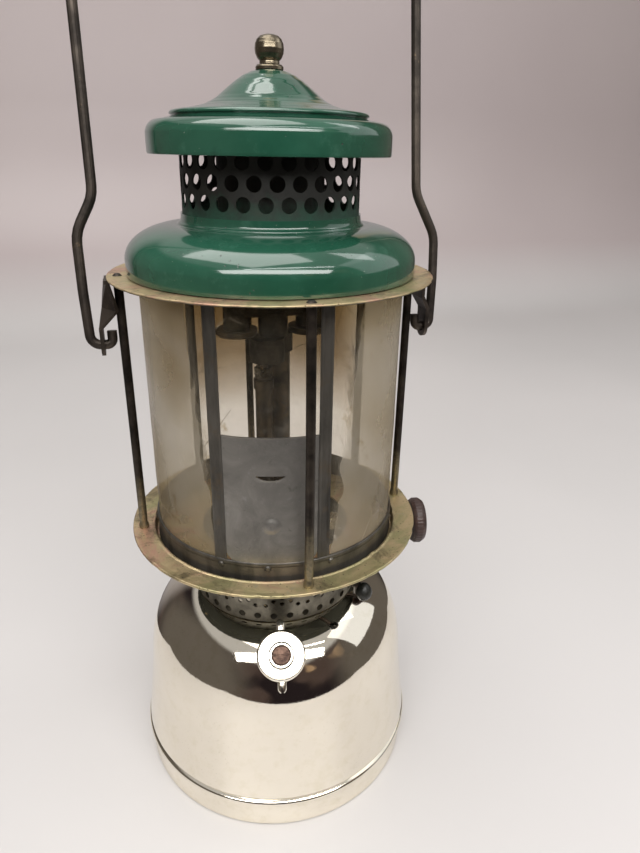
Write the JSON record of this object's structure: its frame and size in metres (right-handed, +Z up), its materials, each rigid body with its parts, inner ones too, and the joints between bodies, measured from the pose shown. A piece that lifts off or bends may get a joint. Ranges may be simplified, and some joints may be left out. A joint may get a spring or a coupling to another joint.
{
  "type": "camping lantern",
  "caption": "Liquid-fuel pressure camping lantern with a mica globe, enamelled ventilator, polished fount, filler cap, side valve wheel and wire bail.",
  "frame": {"origin": "centre of the circle the base band stands on", "axes": "+Z up along the lantern's axis; X along the bail's hinge line; -Y is the front, where the filler cap is"},
  "size_m": [0.1458, 0.1322, 0.3778],
  "materials": {
    "nickel": "polished nickel plate, faintly yellowed",
    "brass": "dull tarnished brass",
    "plate_patina": "heat-tarnished nickel over brass, tan and greenish",
    "screen_nickel": "dull nickel plate",
    "dark_steel": "dark oxidised steel wire",
    "burner_iron": "sooty heat-blackened casting",
    "ceramic": "heat-greyed burner caps",
    "globe_steel": "grey tinned sheet",
    "panel_aluminium": "matte sheet, lightly scratched",
    "mica": "clear mica, brown and crazed in places",
    "green_enamel": "glossy vitreous enamel",
    "burnt_enamel": "heat-darkened enamel, nearly black",
    "brown_plastic": "worn brown moulded resin",
    "screw_brown": "browned brass",
    "black_plastic": "black moulded knob",
    "seal": "soft seal",
    "leather": "oiled cup leather",
    "needle_steel": "bright wire"
  },
  "bodies": {
    "lantern_body": {"base_band": "nickel", "fount_bottom": "nickel", "fount_shell": "nickel", "fount_collar": "brass", "pickup_tube": "brass", "filler_neck": "brass", "pump_barrel": "brass", "pump_cap": "nickel", "check_valve": "brass", "valve_body": "brass", "packing_nut": "brass", "generator_tube": "burner_iron", "jam_nut": "brass", "gas_tip": "brass", "air_tube": "brass", "burner_bridge": "burner_iron", "burner_manifold": "burner_iron", "burner_caps": "ceramic", "centre_stud": "dark_steel", "air_screen": "screen_nickel", "lower_plate": "plate_patina", "frame_rods": "dark_steel", "upper_plate": "plate_patina", "ear_left": "dark_steel", "ear_right": "dark_steel", "globe_lower_band": "globe_steel", "globe_upper_band": "globe_steel", "globe_strips": "globe_steel", "globe_panel": "panel_aluminium", "globe_mica": "mica", "globe_rivets": "panel_aluminium"},
    "ventilator": {"vent_hood": "green_enamel", "draft_collar": "burnt_enamel", "inner_flue": "burnt_enamel", "flue_tabs": "burnt_enamel", "vent_cap": "green_enamel"},
    "finial_nut": {"ball_nut": "brass"},
    "bail": {"bail": "dark_steel"},
    "valve": {"valve_stem": "dark_steel", "valve_wheel": "brown_plastic", "wheel_screw": "dark_steel"},
    "cleaner_lever": {"lever_rod": "dark_steel", "lever_knob": "black_plastic"},
    "needle": {"cleaning_needle": "needle_steel"},
    "filler_cap": {"filler_cap": "nickel", "filler_gasket": "seal"},
    "air_screw": {"air_screw": "screw_brown"},
    "pump_plunger": {"plunger_rod": "brass", "pump_leather": "leather", "pump_knob": "nickel"}
  },
  "joints": [
    {"name": "ventilator_lift", "type": "slide", "parent": "lantern_body", "child": "ventilator", "axis": [0, 0, 1], "range_m": [0, 0.055]},
    {"name": "finial_nut_turn", "type": "hinge", "parent": "ventilator", "child": "finial_nut", "pos_m": [0, 0, 0.303], "axis": [0, 0, 1], "range_deg": [0, 1080]},
    {"name": "bail_swing", "type": "hinge", "parent": "lantern_body", "child": "bail", "pos_m": [0, 0, 0.2065], "axis": [1, 0, 0], "range_deg": [-140, 150]},
    {"name": "valve_turn", "type": "hinge", "parent": "lantern_body", "child": "valve", "pos_m": [0.06273, -0.01106, 0.115], "axis": [0.9848, -0.1736, 0], "range_deg": [0, 450]},
    {"name": "cleaner_turn", "type": "hinge", "parent": "lantern_body", "child": "cleaner_lever", "pos_m": [-0.0055, -0.006, 0.107], "axis": [0.6639, -0.7478, 0], "range_deg": [0, 90]},
    {"name": "needle_rise", "type": "slide", "parent": "lantern_body", "child": "needle", "axis": [0, 0, 1], "range_m": [0, 0.00076]},
    {"name": "filler_cap_turn", "type": "hinge", "parent": "lantern_body", "child": "filler_cap", "pos_m": [-0.0091, -0.04908, 0.08297], "axis": [-0.1289, -0.6953, 0.7071], "range_deg": [0, 900]},
    {"name": "air_screw_turn", "type": "hinge", "parent": "filler_cap", "child": "air_screw", "pos_m": [-0.0091, -0.04908, 0.08297], "axis": [-0.1289, -0.6953, 0.7071], "range_deg": [0, 540]},
    {"name": "pump_stroke", "type": "slide", "parent": "lantern_body", "child": "pump_plunger", "axis": [0.183, 0.683, 0.7071], "range_m": [0, 0.034]}
  ],
  "couplings": [
    {"joint": "needle_rise", "follows": "cleaner_turn", "m_per_rad": 0.00048}
  ]
}
